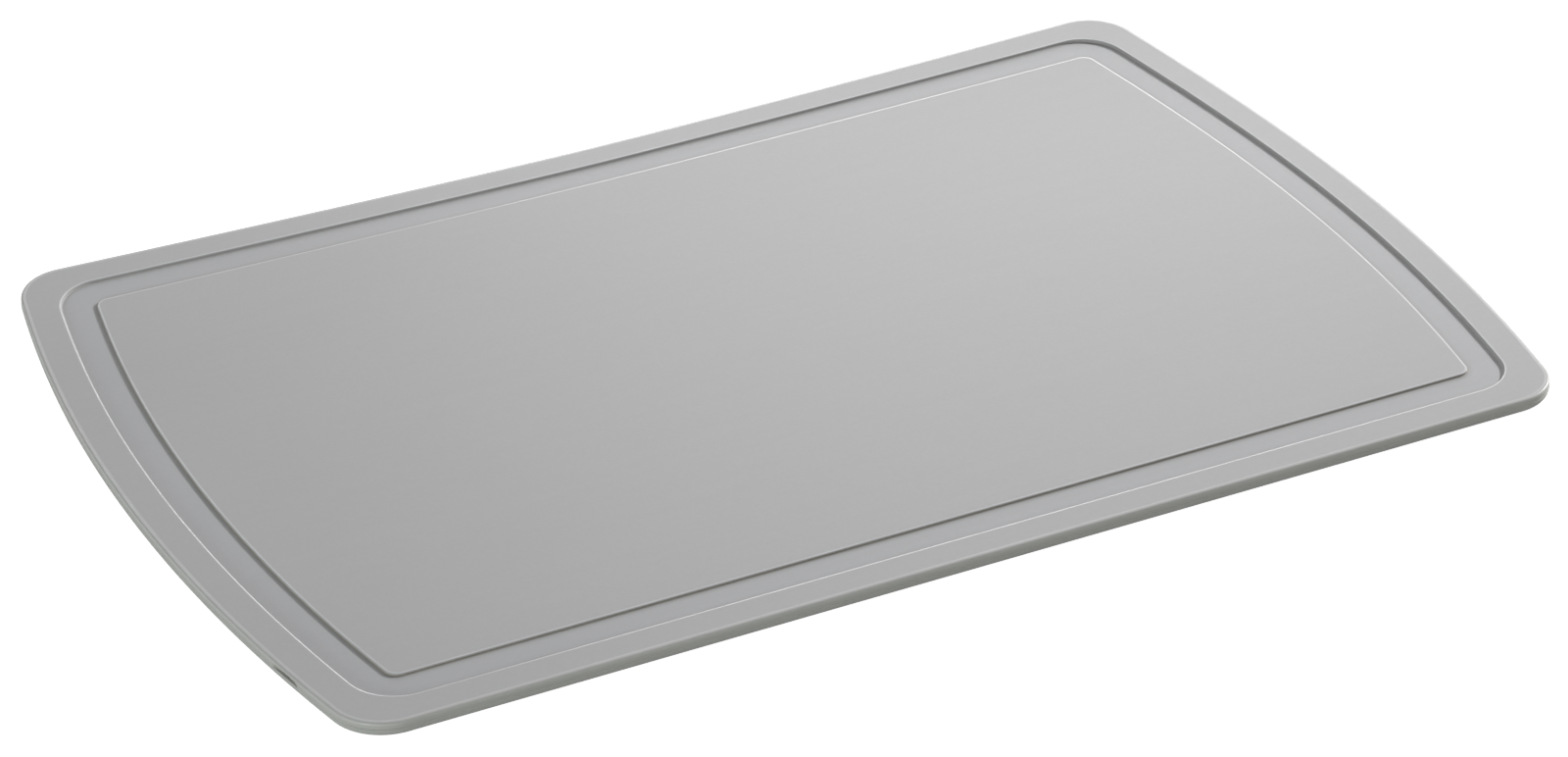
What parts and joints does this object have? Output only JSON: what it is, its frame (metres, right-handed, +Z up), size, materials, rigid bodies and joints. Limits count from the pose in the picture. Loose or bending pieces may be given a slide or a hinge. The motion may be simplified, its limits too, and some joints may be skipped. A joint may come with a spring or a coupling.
{
  "type": "flexible cutting mat",
  "caption": "Flexible kitchen cutting mat with bowed ends, rounded corners and a juice groove round the cutting field, on a soft grip layer.",
  "frame": {"origin": "on the table, under the middle of the mat", "axes": "+X along the length towards the right end, +Y towards the long edge whose two corners curl up, +Z up out of the cutting field"},
  "size_m": [0.381, 0.254, 0.0071],
  "materials": {
    "cutting_layer": "satin grey, very fine moulded grain",
    "grip_layer": "matte soft-touch grey"
  },
  "bodies": {
    "root": {"cutting_layer": "cutting_layer", "grip_layer": "grip_layer"}
  },
  "joints": []
}
